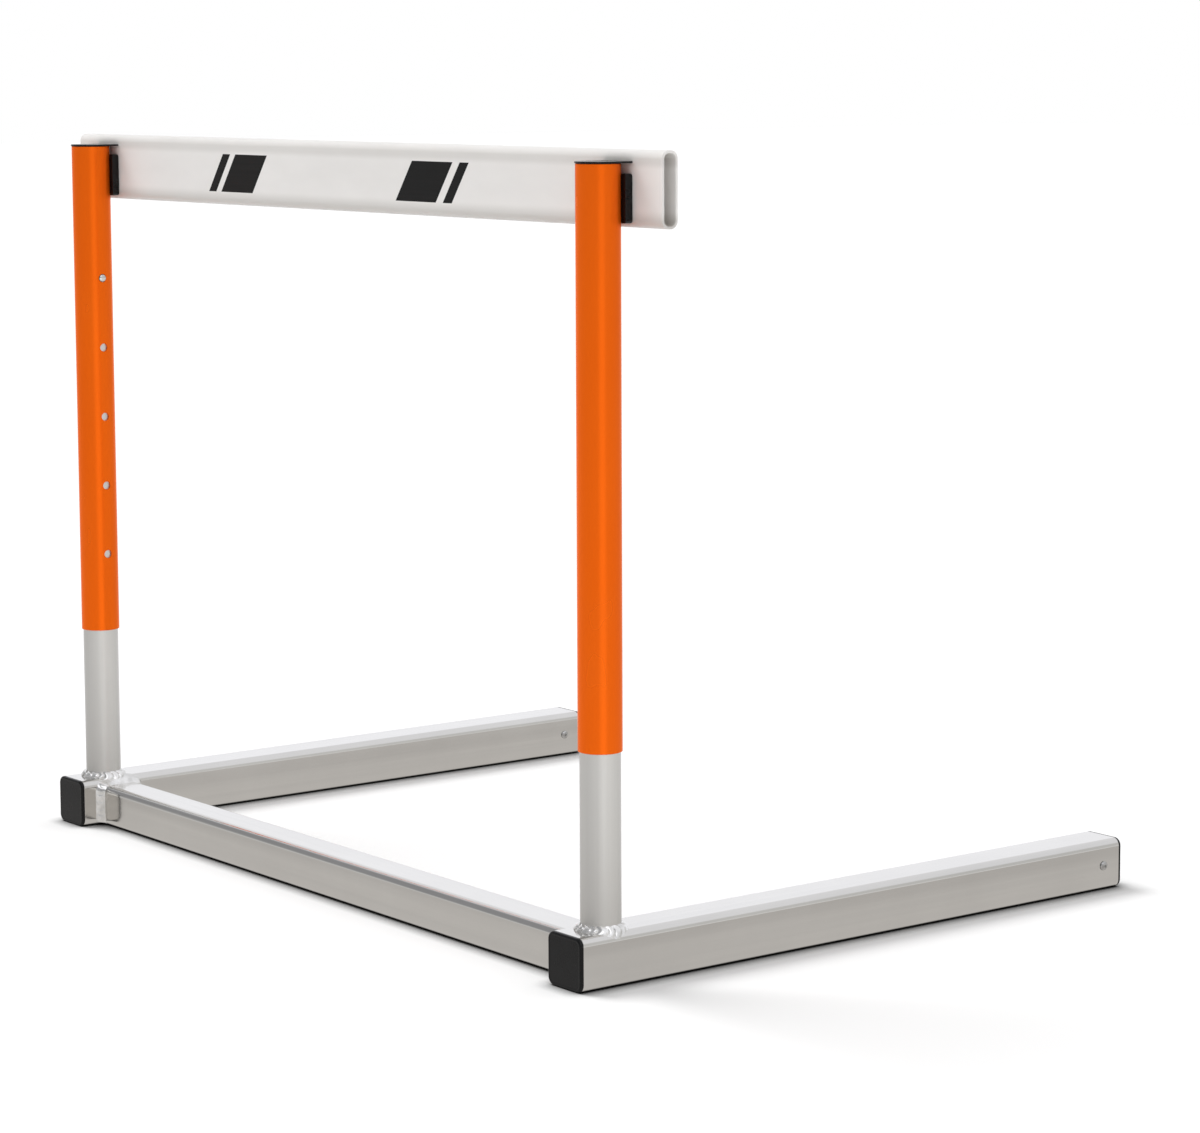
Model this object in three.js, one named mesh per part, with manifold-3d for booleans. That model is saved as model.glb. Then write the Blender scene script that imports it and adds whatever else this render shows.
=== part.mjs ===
// A height-adjustable track hurdle: two weighted legs, a front rail, telescoping uprights and a gateboard.
// Millimetres. X runs along the gateboard, Y from the uprights to the rear ends of the legs, Z up from the floor.
// The origin is on the floor, in the middle of the hurdle's length and depth.
import * as THREE from "three";
import { mergeVertices, toCreasedNormals } from "three/addons/utils/BufferGeometryUtils.js";
import Module from "manifold-3d";

// Base frame: square legs that lie on the floor, joined at the front by a smaller square rail.
const legSize = 50.8;
const legWall = 2.4;
const legCorner = 8;
const legLength = 685.8;
const postSetback = 39;
const railBelowLegTop = 6.35;
const railWall = 2.4;
const railCorner = 8;
const railLead = 17.5;

// Uprights: a post welded on each leg, and a painted sleeve that slides on it.
const postOuter = 38.1;
const postWall = 2.1;
const postHeadroom = 29.9;
const sleeveWall = 1.3;
const sleeveLength = 533.4;
const slideClearance = 0.3;
const firstStop = 85.2;
const stopPitch = 76.2;
const topStopMargin = 120;
const stopClearance = 0.45;

// Gateboard: a hollow extrusion with open ends, its top edge at the lowest of the five heights.
const lowestHeight = 762;
const boardLength = 1041.4;
const boardOverhang = 63.5;
const boardHeight = 70;
const boardThickness = 18;
const boardWall = 2.6;
const boardEdgeFlat = 1.9;
const sleeveDrop = 12.4;

// Saddle between each sleeve and the gateboard.
const saddleWidth = 42;
const saddleBelowBoardTop = 21.4;
const saddleDepth = 7.5;
const saddleWeb = 1.65;
const saddleCorner = 3;
const saddleRise = 4;

// Top cap: a plate over the sleeve's end, and a hollow plug in the sleeve that holds the nuts.
const plateOverhang = 0.75;
const plateThickness = 1.8;
const plateEase = 0.5;
const plugBelowScrews = 10.7;
const plugLeadIn = 1.5;
const plugRoof = 3;
const plugWall = 3.05;
const plugCavityShift = 3;

// Gateboard screws and nuts.
const screwPitch = 25.4;
const screwDiameter = 6;
const screwLength = 35;
const screwHeadDiameter = 12;
const screwHeadHeight = 4;
const screwSocket = 4;
const screwSocketDepth = 2.2;
const nutWidth = 10;
const nutThickness = 5;

// Snap button: a domed stud on a sprung clip inside the post.
const buttonDiameter = 8;
const buttonProud = 1.5;
const buttonCollarDiameter = 10.5;
const buttonCollarThickness = 1;
const buttonStudDiameter = 4;
const buttonTailDiameter = 6.4;
const buttonTailThickness = 0.6;
const clipWidth = 10;
const clipThickness = 0.6;
const clipLength = 62;
const clipBend = 4.5;
const clipFlat = 7;

// End caps of the legs.
const capFlange = 3.2;
const capEase = 2.4;
const capInsert = 12;
const capInsertWall = 2;
const capRibHeight = 0.8;
const capRibWidth = 1.4;
const capRibCount = 2;

// Counterweights and the blind rivets that hold them.
const weightLength = 150;
const rivetSetback = 22;
const rivetShank = 4.8;
const rivetHead = 9.5;
const rivetHeadHeight = 2.2;
const rivetBite = 9;

// Welds.
const postWeldReach = 6;
const railWeldReach = 5;
const railWeldFloor = 2.5;
const postWeldDimes = 20;
const railWeldDimes = 22;
const weldRippleShare = 0.12;

// Fits: the gap between pieces that touch, and how far a cut runs past its piece.
const seatGap = 0.3;
const overrun = 5;

// Facets of round pieces, by size. A rounded corner has two facets for each of its steps.
const tubeSides = 48;
const smallSides = 16;
const cornerSteps = 3;
const hiddenCornerSteps = 1;
const edgeSteps = 3;
const domeSteps = 3;
const bendSteps = 8;
const dimeSteps = 3;
const creaseAngle = THREE.MathUtils.degToRad(32);

// Sizes that follow from the ones above.
const postSpacing = boardLength - 2 * boardOverhang;
const railSize = legSize - railBelowLegTop;
const postRadius = postOuter / 2;
const postBore = postRadius - postWall;
const sleeveBore = postRadius + slideClearance;
const sleeveRadius = sleeveBore + sleeveWall;
const sleeveTop = lowestHeight - sleeveDrop;
const sleeveBottom = sleeveTop - sleeveLength;
const stopCount = Math.floor((sleeveLength - firstStop - topStopMargin) / stopPitch) + 1;
const buttonHeight = sleeveBottom + firstStop + stopPitch * (stopCount - 1);
const boardBottom = lowestHeight - boardHeight;
const boardFront = sleeveRadius + seatGap + saddleWeb + seatGap;
const boardRear = boardFront + boardThickness;
const boardCorner = (boardThickness - boardEdgeFlat) / 2;
const saddleBottom = boardBottom + saddleRise;
const saddleHeight = boardHeight - saddleRise - saddleBelowBoardTop;
const saddleMiddle = saddleBottom + saddleHeight / 2;
const screwHeights = { lower: saddleMiddle - screwPitch / 2, upper: saddleMiddle + screwPitch / 2 };
const screwHole = screwDiameter + 2 * seatGap;
const plugBottom = screwHeights.lower - plugBelowScrews;
const plugRadius = sleeveBore - seatGap;
const plugCavityRadius = plugRadius - plugWall - plugCavityShift;
const postTop = plugBottom - postHeadroom;
const stopHole = buttonDiameter + 2 * stopClearance;
const postWeldWidth = Math.min(postWeldReach, legSize / 2 - seatGap - postRadius);
const legRear = legLength - postSetback;
const legInside = legSize - 2 * legWall;
const railLength = postSpacing - legSize - 2 * seatGap;
const legMiddleY = legLength / 2 - postSetback;

const wasm = await Module();
wasm.setup();

// Turns a closed geometry into a solid whose faces point out.
function solid(geometry) {
  const bare = geometry.clone();
  bare.deleteAttribute("normal");
  bare.deleteAttribute("uv");
  const merged = mergeVertices(bare);
  const corners = [];
  for (let i = 0; i < merged.index.count; i += 3) {
    const [a, b, c] = [0, 1, 2].map((k) => merged.index.getX(i + k));
    if (a !== b && b !== c && c !== a) corners.push([a, b, c]);
  }
  const build = (faces) =>
    new wasm.Manifold(
      new wasm.Mesh({
        numProp: 3,
        vertProperties: Float32Array.from(merged.attributes.position.array),
        triVerts: Uint32Array.from(faces.flat()),
      }),
    );
  const made = build(corners);
  return made.volume() > 0 ? made : build(corners.map(([a, b, c]) => [a, c, b]));
}

// Cuts every tool from a solid.
const cut = (body, ...tools) => tools.reduce((left, tool) => left.subtract(tool), body);

// Joins solids into one.
const join = (first, ...others) => others.reduce((sum, other) => sum.add(other), first);

// A solid as a named mesh.
function piece(name, body, material) {
  const { numProp, vertProperties, triVerts } = body.getMesh();
  const positions = new Float32Array((vertProperties.length / numProp) * 3);
  for (let i = 0; i < positions.length / 3; i++) {
    positions.set(vertProperties.subarray(i * numProp, i * numProp + 3), i * 3);
  }
  const geometry = new THREE.BufferGeometry();
  geometry.setAttribute("position", new THREE.BufferAttribute(positions, 3));
  geometry.setIndex(new THREE.BufferAttribute(Uint32Array.from(triVerts), 1));
  const mesh = new THREE.Mesh(toCreasedNormals(geometry, creaseAngle), material);
  mesh.name = name;
  return mesh;
}

// A rounded rectangle centred on the origin.
function roundedRectangle(width, height, radius) {
  const x = width / 2 - radius;
  const y = height / 2 - radius;
  const shape = new THREE.Shape();
  shape.absarc(x, -y, radius, -Math.PI / 2, 0);
  shape.absarc(x, y, radius, 0, Math.PI / 2);
  shape.absarc(-x, y, radius, Math.PI / 2, Math.PI);
  shape.absarc(-x, -y, radius, Math.PI, Math.PI * 1.5);
  shape.closePath();
  return shape;
}

// A shape extruded along Z from the origin.
function extrude(shape, depth, options = {}) {
  return new THREE.ExtrudeGeometry(shape, { depth, bevelEnabled: false, curveSegments: cornerSteps, ...options });
}

// A square bar with rounded corners along Y, its centre line at a height z.
function barAlongY(size, radius, from, to, z, curveSegments = cornerSteps) {
  const geometry = extrude(roundedRectangle(size, size, radius), to - from, { curveSegments });
  geometry.rotateX(-Math.PI / 2);
  geometry.translate(0, from, z);
  return solid(geometry);
}

// A bar with rounded corners along X, centred on x = 0, of a depth along Y and a height along Z.
function barAlongX(depth, height, radius, length, y, z) {
  const geometry = extrude(roundedRectangle(height, depth, radius), length);
  geometry.rotateY(Math.PI / 2);
  geometry.translate(-length / 2, y, z);
  return solid(geometry);
}

// A round bar, or one with a few flat sides, between two points.
function rod(radius, from, to, sides = smallSides) {
  const start = new THREE.Vector3(...from);
  const run = new THREE.Vector3(...to).sub(start);
  const geometry = new THREE.CylinderGeometry(radius, radius, run.length(), sides);
  const up = new THREE.Vector3(0, 1, 0);
  geometry.applyQuaternion(new THREE.Quaternion().setFromUnitVectors(up, run.clone().normalize()));
  geometry.translate(...start.addScaledVector(run, 1 / 2).toArray());
  return solid(geometry);
}

// A profile of [radius, height] points turned round the Z axis.
function turned(profile, sides = tubeSides) {
  const geometry = new THREE.LatheGeometry(
    profile.map(([radius, height]) => new THREE.Vector2(radius, height)),
    sides,
  );
  geometry.rotateX(Math.PI / 2);
  return geometry;
}

// A tube round the Z axis.
function tube(outer, inner, bottom, top) {
  return solid(turned([[outer, bottom], [outer, top], [inner, top], [inner, bottom], [outer, bottom]]));
}

// Points on a dome from its rim to its crown, as [radius, height].
function dome(radius, rim, rise) {
  return Array.from({ length: domeSteps + 1 }, (_, i) => {
    const turn = ((i / domeSteps) * Math.PI) / 2;
    return [radius * Math.cos(turn), rim + rise * Math.sin(turn)];
  });
}

// A closed solid through outlines with equally many points, closed at both ends by fans.
function loft(outlines) {
  const count = outlines[0].length;
  const points = outlines.flat();
  const faces = [];
  outlines.slice(1).forEach((_, level) => {
    for (let i = 0; i < count; i++) {
      const next = (i + 1) % count;
      const [a, b] = [level * count + i, level * count + next];
      faces.push([a, b, b + count], [a, b + count, a + count]);
    }
  });
  for (const [level, backwards] of [[0, true], [outlines.length - 1, false]]) {
    const centre = new THREE.Vector3();
    outlines[level].forEach((point) => centre.addScaledVector(point, 1 / count));
    const hub = points.push(centre) - 1;
    for (let i = 0; i < count; i++) {
      const [a, b] = [level * count + i, level * count + ((i + 1) % count)];
      faces.push(backwards ? [hub, b, a] : [hub, a, b]);
    }
  }
  const geometry = new THREE.BufferGeometry().setFromPoints(points);
  geometry.setIndex(faces.flat());
  return solid(geometry);
}

// Half the leg's width at a height, and the leg's top at a distance from its centre line, round its corners.
function cornerDrop(distance) {
  const past = Math.min(Math.max(distance - (legSize / 2 - legCorner), 0), legCorner);
  return legCorner - Math.sqrt(legCorner ** 2 - past ** 2);
}
const legTopAt = (x) => legSize - cornerDrop(Math.abs(x));
const legSideAt = (z) => legSize / 2 - cornerDrop(Math.abs(z - legSize / 2));

// The section of a weld bead, as shares of its reach along the two surfaces that it joins.
const beadSectionShares = [[-0.3, -0.3], [1, -0.3], [1, 0.03], [0.76, 0.38], [0.38, 0.76], [0.03, 1], [-0.3, 1]];

// A rippled weld bead along a closed seam. Each frame has a seam point and the bead's two reaches from it.
function weldBead(frames) {
  const count = frames.length;
  const rings = frames.map(({ seam, along, up, swell }) =>
    beadSectionShares.map(([a, b]) =>
      seam
        .clone()
        .addScaledVector(along, a > 0 ? a * swell : a)
        .addScaledVector(up, b > 0 ? b * swell : b),
    ),
  );
  const sides = beadSectionShares.length;
  const faces = [];
  for (let i = 0; i < count; i++) {
    for (let k = 0; k < sides; k++) {
      const [near, far] = [i * sides, ((i + 1) % count) * sides];
      const next = (k + 1) % sides;
      faces.push([near + k, near + next, far + next], [near + k, far + next, far + k]);
    }
  }
  const geometry = new THREE.BufferGeometry().setFromPoints(rings.flat());
  geometry.setIndex(faces.flat());
  return solid(geometry);
}

// How much a bead swells at a step of the seam, from the trough between two dimes to the crest of one.
const dimeSwell = (step) => 1 - weldRippleShare + weldRippleShare * Math.sin((step / dimeSteps) * Math.PI) ** 2;

// A leg: a square tube along Y with a rivet hole through both sides near its rear end.
function leg() {
  const middle = legSize / 2;
  return cut(
    barAlongY(legSize, legCorner, -postSetback, legRear, middle),
    barAlongY(legInside, legCorner - legWall, -postSetback - overrun, legRear + overrun, middle),
    rivetBore(legSize / 2 + overrun),
  );
}

// The cut for both rivets of a leg.
function rivetBore(reach) {
  const y = legRear - rivetSetback;
  return rod(rivetShank / 2 + seatGap, [-reach, y, legSize / 2], [reach, y, legSize / 2]);
}

// The front rail: a square tube between the two legs, its underside on the floor.
function frontRail() {
  const y = railSize / 2 - railLead;
  const inside = railSize - 2 * railWall;
  return cut(
    barAlongX(railSize, railSize, railCorner, railLength, y, railSize / 2),
    barAlongX(inside, inside, railCorner - railWall, railLength + 2 * overrun, y, railSize / 2),
  );
}

// An end cap with its flange towards -Y: an eased flange over the tube's end and a ribbed insert in the tube.
function endCap() {
  const middle = legSize / 2;
  const outline = (inset, y) =>
    roundedRectangle(legSize - 2 * inset, legSize - 2 * inset, legCorner - inset)
      .getPoints(cornerSteps)
      .slice(0, -1)
      .map(({ x, y: height }) => new THREE.Vector3(x, y, middle + height));
  const face = -seatGap - capFlange;
  const eased = Array.from({ length: edgeSteps + 1 }, (_, i) => {
    const turn = ((i / edgeSteps) * Math.PI) / 2;
    return outline(capEase * (1 - Math.sin(turn)), face + capEase * (1 - Math.cos(turn)));
  });
  const flange = loft([...eased, outline(0, -seatGap)]);
  const ribSize = legInside - 2 * seatGap;
  const ribCorner = legCorner - legWall - seatGap;
  const coreSize = ribSize - 2 * capRibHeight;
  const coreCorner = ribCorner - capRibHeight;
  const insertBar = (size, radius, from, to) => barAlongY(size, radius, from, to, middle, hiddenCornerSteps);
  const ribs = Array.from({ length: capRibCount }, (_, i) => {
    const end = (capInsert * (i + 1)) / capRibCount;
    return insertBar(ribSize, ribCorner, end - capRibWidth, end);
  });
  const core = insertBar(coreSize, coreCorner, -seatGap - capFlange / 2, capInsert);
  const hollow = insertBar(coreSize - 2 * capInsertWall, coreCorner - capInsertWall, -seatGap, capInsert + overrun);
  return join(flange, cut(join(core, ...ribs), hollow));
}

// A counterweight: a steel bar that fills the rear of a leg, up to the end cap's insert.
function counterweight() {
  const rear = legRear - capInsert - seatGap;
  const size = legInside - 2 * seatGap;
  return cut(
    barAlongY(size, legCorner - legWall - seatGap, rear - weightLength, rear, legSize / 2, hiddenCornerSteps),
    rivetBore(size / 2 + overrun),
  );
}

// A blind rivet with its head towards +Z, seated on z = 0.
function rivet() {
  const shank = rivetShank / 2;
  const depth = -legWall - rivetBite;
  return solid(
    turned([[0, depth], [shank, depth], [shank, seatGap], ...dome(rivetHead / 2, seatGap, rivetHeadHeight)], smallSides),
  );
}

// A post: a round tube that stands on the leg, with a hole for the snap button on its inward side.
function post(inward) {
  const bottom = legSize + seatGap;
  return cut(
    tube(postRadius, postBore, bottom, postTop),
    rod(buttonDiameter / 2 + seatGap, [0, 0, buttonHeight], [inward * (postRadius + overrun), 0, buttonHeight]),
  );
}

// The bead round the foot of a post, which drapes over the leg's rounded corners.
function postWeld() {
  const steps = postWeldDimes * dimeSteps;
  const frames = Array.from({ length: steps }, (_, i) => {
    const turn = (i / steps) * Math.PI * 2;
    const onLeg = (radius) => {
      const [x, y] = [radius * Math.cos(turn), radius * Math.sin(turn)];
      return new THREE.Vector3(x, y, legTopAt(x));
    };
    const seam = onLeg(postRadius);
    const along = onLeg(postRadius + postWeldWidth).sub(seam);
    return { seam, along, up: new THREE.Vector3(0, 0, postWeldWidth), swell: dimeSwell(i) };
  });
  const grown = legSize + 2 * seatGap;
  return cut(
    weldBead(frames),
    barAlongY(grown, legCorner + seatGap, -postSetback, postSetback, legSize / 2),
    rod(postRadius + seatGap, [0, 0, 0], [0, 0, legSize * 2], tubeSides),
  );
}

// The bead round the rail's end on the leg's inner side, clear of the post's bead and ground off near the floor.
function railWeld(inward) {
  const railY = railSize / 2 - railLead;
  const outline = roundedRectangle(railSize, railSize, railCorner);
  const steps = railWeldDimes * dimeSteps;
  const seams = outline.getSpacedPoints(steps).slice(0, -1);
  const frames = seams.map(({ x: offset, y: height }, i) => {
    const ahead = seams[(i + 1) % steps];
    const behind = seams[(i + steps - 1) % steps];
    const out = new THREE.Vector2(ahead.y - behind.y, behind.x - ahead.x).normalize();
    const onLeg = (reach) => {
      const z = railSize / 2 + height + out.y * reach;
      return new THREE.Vector3(inward * legSideAt(z), railY + offset + out.x * reach, z);
    };
    const seam = onLeg(0);
    const along = onLeg(railWeldReach).sub(seam);
    return { seam, along, up: new THREE.Vector3(inward * railWeldReach, 0, 0), swell: dimeSwell(i) };
  });
  const grownLeg = legSize + 2 * seatGap;
  const grownRail = railSize + 2 * seatGap;
  const ground = extrude(roundedRectangle(legSize * 3, legSize * 3, legCorner), legSize);
  ground.translate(0, 0, railWeldFloor - legSize);
  const besidePostWeld = postRadius + postWeldWidth + seatGap;
  return cut(
    weldBead(frames),
    barAlongY(grownLeg, legCorner + seatGap, -postSetback, legSize * 2, legSize / 2),
    barAlongX(grownRail, grownRail, railCorner + seatGap, legSize * 4, railY, railSize / 2),
    rod(besidePostWeld, [0, 0, legSize - legCorner], [0, 0, legSize * 2], tubeSides),
    solid(ground),
  );
}

// The spring clip inside the post: a strip bent to a V that bears on the far wall and carries the button.
function buttonSpring(inward) {
  const carried = buttonSeat() - seatGap - clipThickness / 2;
  const chord = Math.sqrt(postBore ** 2 - (clipWidth / 2) ** 2);
  const far = -(chord - seatGap - clipThickness / 2);
  const bendZ = buttonHeight - clipLength + clipBend;
  const top = buttonHeight + clipFlat;
  const path = [[carried, top], [carried, buttonHeight - clipFlat]];
  for (let i = 0; i <= bendSteps; i++) {
    const turn = (i / bendSteps) * Math.PI;
    path.push([far + clipBend + clipBend * Math.cos(turn), bendZ - clipBend * Math.sin(turn)]);
  }
  path.push([far, top]);
  const strip = ribbon(path, clipThickness).map(([x, z]) => new THREE.Vector2(inward * x, z));
  const geometry = extrude(new THREE.Shape(strip), clipWidth);
  geometry.rotateX(Math.PI / 2);
  geometry.translate(0, clipWidth / 2, 0);
  const hole = buttonStudDiameter / 2 + seatGap;
  return cut(solid(geometry), rod(hole, [0, 0, buttonHeight], [inward * postRadius, 0, buttonHeight]));
}

// The outline of a strip of one thickness along a path of [x, z] points.
function ribbon(path, thickness) {
  const offset = (sign) =>
    path.map(([x, z], i) => {
      const [ax, az] = path[Math.max(i - 1, 0)];
      const [bx, bz] = path[Math.min(i + 1, path.length - 1)];
      const normal = new THREE.Vector2(az - bz, bx - ax).normalize();
      return [x + (sign * normal.x * thickness) / 2, z + (sign * normal.y * thickness) / 2];
    });
  return [...offset(1), ...offset(-1).reverse()];
}

// The distance from the post's axis to the inner face of the button's collar, which stops against the post's bore.
function buttonSeat() {
  const chord = Math.sqrt(postBore ** 2 - (buttonCollarDiameter / 2) ** 2);
  return chord - seatGap - buttonCollarThickness;
}

// A snap button: dome, collar, stud through the clip and the tail that holds it there.
function snapButton(inward) {
  const seat = buttonSeat();
  const radius = buttonDiameter / 2;
  const tip = sleeveRadius + buttonProud;
  const shoulder = sleeveRadius - seatGap;
  const tailTop = seat - 2 * seatGap - clipThickness;
  const profile = [
    [0, tailTop - buttonTailThickness],
    [buttonTailDiameter / 2, tailTop - buttonTailThickness],
    [buttonTailDiameter / 2, tailTop],
    [buttonStudDiameter / 2, tailTop],
    [buttonStudDiameter / 2, seat],
    [buttonCollarDiameter / 2, seat],
    [buttonCollarDiameter / 2, seat + buttonCollarThickness],
    [radius, seat + buttonCollarThickness],
    ...dome(radius, shoulder, tip - shoulder),
  ];
  const geometry = turned(profile, smallSides);
  geometry.rotateY((inward * Math.PI) / 2);
  geometry.translate(0, 0, buttonHeight);
  return solid(geometry);
}

// A sleeve: a tube with a row of stop holes on its inward side and two screw holes at its rear.
function sleeve(inward) {
  const stops = Array.from({ length: stopCount }, (_, i) => {
    const z = sleeveBottom + firstStop + stopPitch * i;
    return rod(stopHole / 2, [0, 0, z], [inward * (sleeveRadius + overrun), 0, z]);
  });
  return cut(tube(sleeveRadius, sleeveBore, sleeveBottom, sleeveTop), ...stops, ...screwBores());
}

// The cuts for both gateboard screws, from the sleeve's axis to behind the gateboard.
function screwBores() {
  return Object.values(screwHeights).map((z) => rod(screwHole / 2, [0, 0, z], [0, boardRear + overrun, z]));
}

// A top cap: a D-shaped plate over the sleeve and up to the gateboard, with a hollow plug that holds the nuts.
function topCap() {
  const radius = sleeveRadius + plateOverhang;
  const back = boardFront - seatGap;
  const outline = new THREE.Shape();
  outline.absarc(0, 0, radius, -Math.PI, 0);
  outline.lineTo(radius, back);
  outline.lineTo(-radius, back);
  outline.closePath();
  const plate = extrude(outline, plateThickness - 2 * plateEase, {
    curveSegments: tubeSides / 4,
    bevelEnabled: true,
    bevelSize: plateEase,
    bevelOffset: -plateEase,
    bevelThickness: plateEase,
    bevelSegments: 2,
  });
  const underside = sleeveTop + seatGap;
  plate.translate(0, 0, underside + plateEase);
  const plug = turned([
    [0, underside + plateEase],
    [0, plugBottom],
    [plugRadius - plugLeadIn, plugBottom],
    [plugRadius, plugBottom + plugLeadIn],
    [plugRadius, underside + plateEase],
    [0, underside + plateEase],
  ]);
  const cavityTop = underside - plugRoof;
  const cavity = rod(
    plugCavityRadius,
    [0, -plugCavityShift, plugBottom - overrun],
    [0, -plugCavityShift, cavityTop],
    tubeSides / 2,
  );
  const pockets = Object.values(screwHeights).map((z) => hexAlongY(nutWidth + 2 * seatGap, 0, nutSeat() + seatGap, z));
  return cut(join(solid(plate), solid(plug)), cavity, ...pockets, ...screwBores());
}

// A hexagonal bar along Y, with two flats level.
function hexAlongY(width, from, to, z) {
  const geometry = new THREE.CylinderGeometry(width / Math.sqrt(3), width / Math.sqrt(3), to - from, 6);
  geometry.rotateY(Math.PI / 6);
  geometry.translate(0, (from + to) / 2, z);
  return solid(geometry);
}

// Where the nuts bear on the floor of their pockets, behind the cavity in the plug.
function nutSeat() {
  return plugCavityRadius - plugCavityShift + nutThickness;
}

// A hexagonal nut in its pocket.
function nut(z) {
  const bore = screwDiameter / 2 + seatGap;
  return cut(
    hexAlongY(nutWidth, nutSeat() - nutThickness, nutSeat(), z),
    rod(bore, [0, 0, z], [0, boardRear, z]),
  );
}

// A saddle: a block with eased corners, hollowed to fit the sleeve and flat towards the gateboard.
function saddle() {
  const back = boardFront - seatGap;
  const block = extrude(roundedRectangle(saddleWidth, saddleHeight, saddleCorner), saddleDepth);
  block.rotateX(Math.PI / 2);
  block.translate(0, back, saddleMiddle);
  const seat = rod(
    sleeveRadius + seatGap,
    [0, 0, saddleBottom - overrun],
    [0, 0, saddleBottom + saddleHeight + overrun],
    tubeSides,
  );
  return cut(solid(block), seat, ...screwBores());
}

// The gateboard: a hollow extrusion with well rounded edges, drilled for the screws at both uprights.
function gateboard() {
  const y = (boardFront + boardRear) / 2;
  const z = lowestHeight - boardHeight / 2;
  const [hollowDepth, hollowHeight] = [boardThickness - 2 * boardWall, boardHeight - 2 * boardWall];
  const drilled = [-1, 1].flatMap((side) =>
    Object.values(screwHeights).map((height) => {
      const x = (side * postSpacing) / 2;
      return rod(screwHole / 2, [x, boardFront - overrun, height], [x, boardRear + overrun, height]);
    }),
  );
  return cut(
    barAlongX(boardThickness, boardHeight, boardCorner, boardLength, y, z),
    barAlongX(hollowDepth, hollowHeight, boardCorner - boardWall, boardLength + 2 * overrun, y, z),
    ...drilled,
  );
}

// A pan head screw along Y with its head behind the gateboard.
function boardScrew(z) {
  const under = boardRear + seatGap;
  const tip = under - screwLength;
  const geometry = turned(
    [
      [0, tip],
      [screwDiameter / 2, tip],
      [screwDiameter / 2, under],
      [screwHeadDiameter / 2, under],
      ...dome(screwHeadDiameter / 2, under + screwHeadHeight / 3, (screwHeadHeight * 2) / 3),
    ],
    smallSides,
  );
  geometry.rotateX(-Math.PI / 2);
  geometry.translate(0, 0, z);
  const top = under + screwHeadHeight;
  return cut(solid(geometry), hexAlongY(screwSocket, top - screwSocketDepth, top + overrun, z));
}

// Materials.
const paint = (color, roughness, metalness) => new THREE.MeshStandardMaterial({ color, roughness, metalness });
const aluminium = paint("#c9c8c5", 0.3, 1);
const bead = paint("#dcdbd8", 0.3, 1);
const orange = paint("#ee6414", 0.35, 0);
const board = paint("#e6e3e0", 0.35, 0);
const black = paint("#2c2c2e", 0.5, 0);
const steel = paint("#9a9a98", 0.4, 1);
const spring = paint("#b4b4b2", 0.3, 1);

// The pieces of one side, round the axis of its post. Side is -1 on the left and 1 on the right.
function halfHurdle(label, side) {
  const inward = -side;
  const half = new THREE.Group();
  half.add(
    piece(`${label}_leg`, leg(), aluminium),
    piece(`${label}_counterweight`, counterweight(), steel),
    piece(`${label}_post`, post(inward), aluminium),
    piece(`${label}_post_weld`, postWeld(), bead),
    piece(`${label}_rail_weld`, railWeld(inward), bead),
    piece(`${label}_button_spring`, buttonSpring(inward), spring),
    piece(`${label}_snap_button`, snapButton(inward), steel),
    piece(`${label}_sleeve`, sleeve(inward), orange),
    piece(`${label}_top_cap`, topCap(), black),
    piece(`${label}_saddle`, saddle(), black),
  );
  half.add(...endCaps(label), ...rivets(label));
  for (const [place, z] of Object.entries(screwHeights)) {
    half.add(
      piece(`${label}_${place}_board_screw`, boardScrew(z), steel),
      piece(`${label}_${place}_board_nut`, nut(z), steel),
    );
  }
  half.position.x = (side * postSpacing) / 2;
  return half;
}

// The two caps of a leg, the rear one turned round.
function endCaps(label) {
  const front = piece(`${label}_front_cap`, endCap(), black);
  front.position.y = -postSetback;
  const rear = piece(`${label}_rear_cap`, endCap(), black);
  rear.position.y = legRear;
  rear.rotation.z = Math.PI;
  return [front, rear];
}

// The two rivets of a leg, one on each side.
function rivets(label) {
  return Object.entries({ west: -1, east: 1 }).map(([place, facing]) => {
    const mesh = piece(`${label}_leg_${place}_rivet`, rivet(), aluminium);
    mesh.position.set((facing * legSize) / 2, legRear - rivetSetback, legSize / 2);
    mesh.rotation.y = (facing * Math.PI) / 2;
    return mesh;
  });
}

const hurdle = new THREE.Group();
hurdle.add(halfHurdle("left", -1), halfHurdle("right", 1));
hurdle.add(piece("front_rail", frontRail(), aluminium), piece("gateboard", gateboard(), board));
hurdle.position.y = -legMiddleY;

export default hurdle;
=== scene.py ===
"""The looks of a height-adjustable track hurdle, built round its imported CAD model. Metres, +Z up."""

import functools
import math
import random

import bmesh
import bpy
from mathutils import Matrix, Vector


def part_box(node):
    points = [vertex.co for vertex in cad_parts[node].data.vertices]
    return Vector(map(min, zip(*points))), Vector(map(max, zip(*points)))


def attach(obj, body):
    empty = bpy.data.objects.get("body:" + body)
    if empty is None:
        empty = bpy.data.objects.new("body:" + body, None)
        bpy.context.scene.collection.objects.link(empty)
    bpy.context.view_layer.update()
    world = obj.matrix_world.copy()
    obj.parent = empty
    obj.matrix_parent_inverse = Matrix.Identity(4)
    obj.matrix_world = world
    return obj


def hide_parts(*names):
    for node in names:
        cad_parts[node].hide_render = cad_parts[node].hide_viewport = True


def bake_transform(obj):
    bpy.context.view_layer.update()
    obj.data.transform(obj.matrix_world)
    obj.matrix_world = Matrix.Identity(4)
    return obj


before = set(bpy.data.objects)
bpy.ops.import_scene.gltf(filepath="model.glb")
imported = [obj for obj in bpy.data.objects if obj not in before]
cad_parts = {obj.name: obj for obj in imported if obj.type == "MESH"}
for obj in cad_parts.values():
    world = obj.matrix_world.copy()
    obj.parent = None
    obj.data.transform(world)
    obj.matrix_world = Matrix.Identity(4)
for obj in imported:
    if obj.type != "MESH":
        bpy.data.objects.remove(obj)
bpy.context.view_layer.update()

MM = 0.001
SIDES = {"left": -1, "right": 1}
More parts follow.
